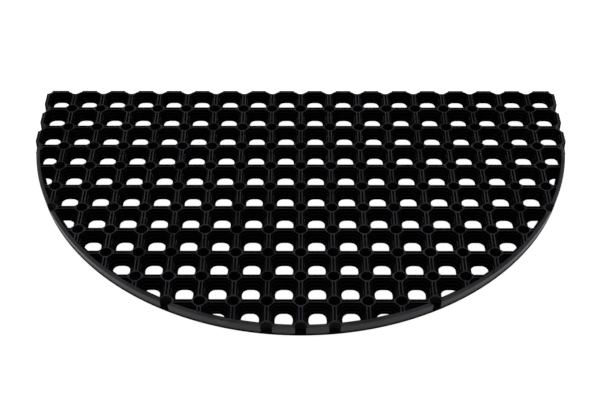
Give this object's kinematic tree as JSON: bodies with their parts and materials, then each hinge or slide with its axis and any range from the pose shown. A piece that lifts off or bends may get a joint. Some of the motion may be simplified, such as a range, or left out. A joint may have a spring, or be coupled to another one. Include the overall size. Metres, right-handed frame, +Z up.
{
  "type": "half round rubber doormat",
  "caption": "Half round black rubber doormat, a moulded lattice of stepped open wells with blind pits at the wall crossings, a straight back edge and a plain rim round the front.",
  "frame": {"origin": "on the floor, under the middle of the mat's bounding box", "axes": "+X along the straight back edge, +Y from the round front towards the straight back edge, +Z up from the floor"},
  "size_m": [0.75, 0.4612, 0.016],
  "materials": {
    "black_rubber": "matt moulded rubber"
  },
  "bodies": {
    "root": {"mat": "black_rubber"}
  },
  "joints": []
}
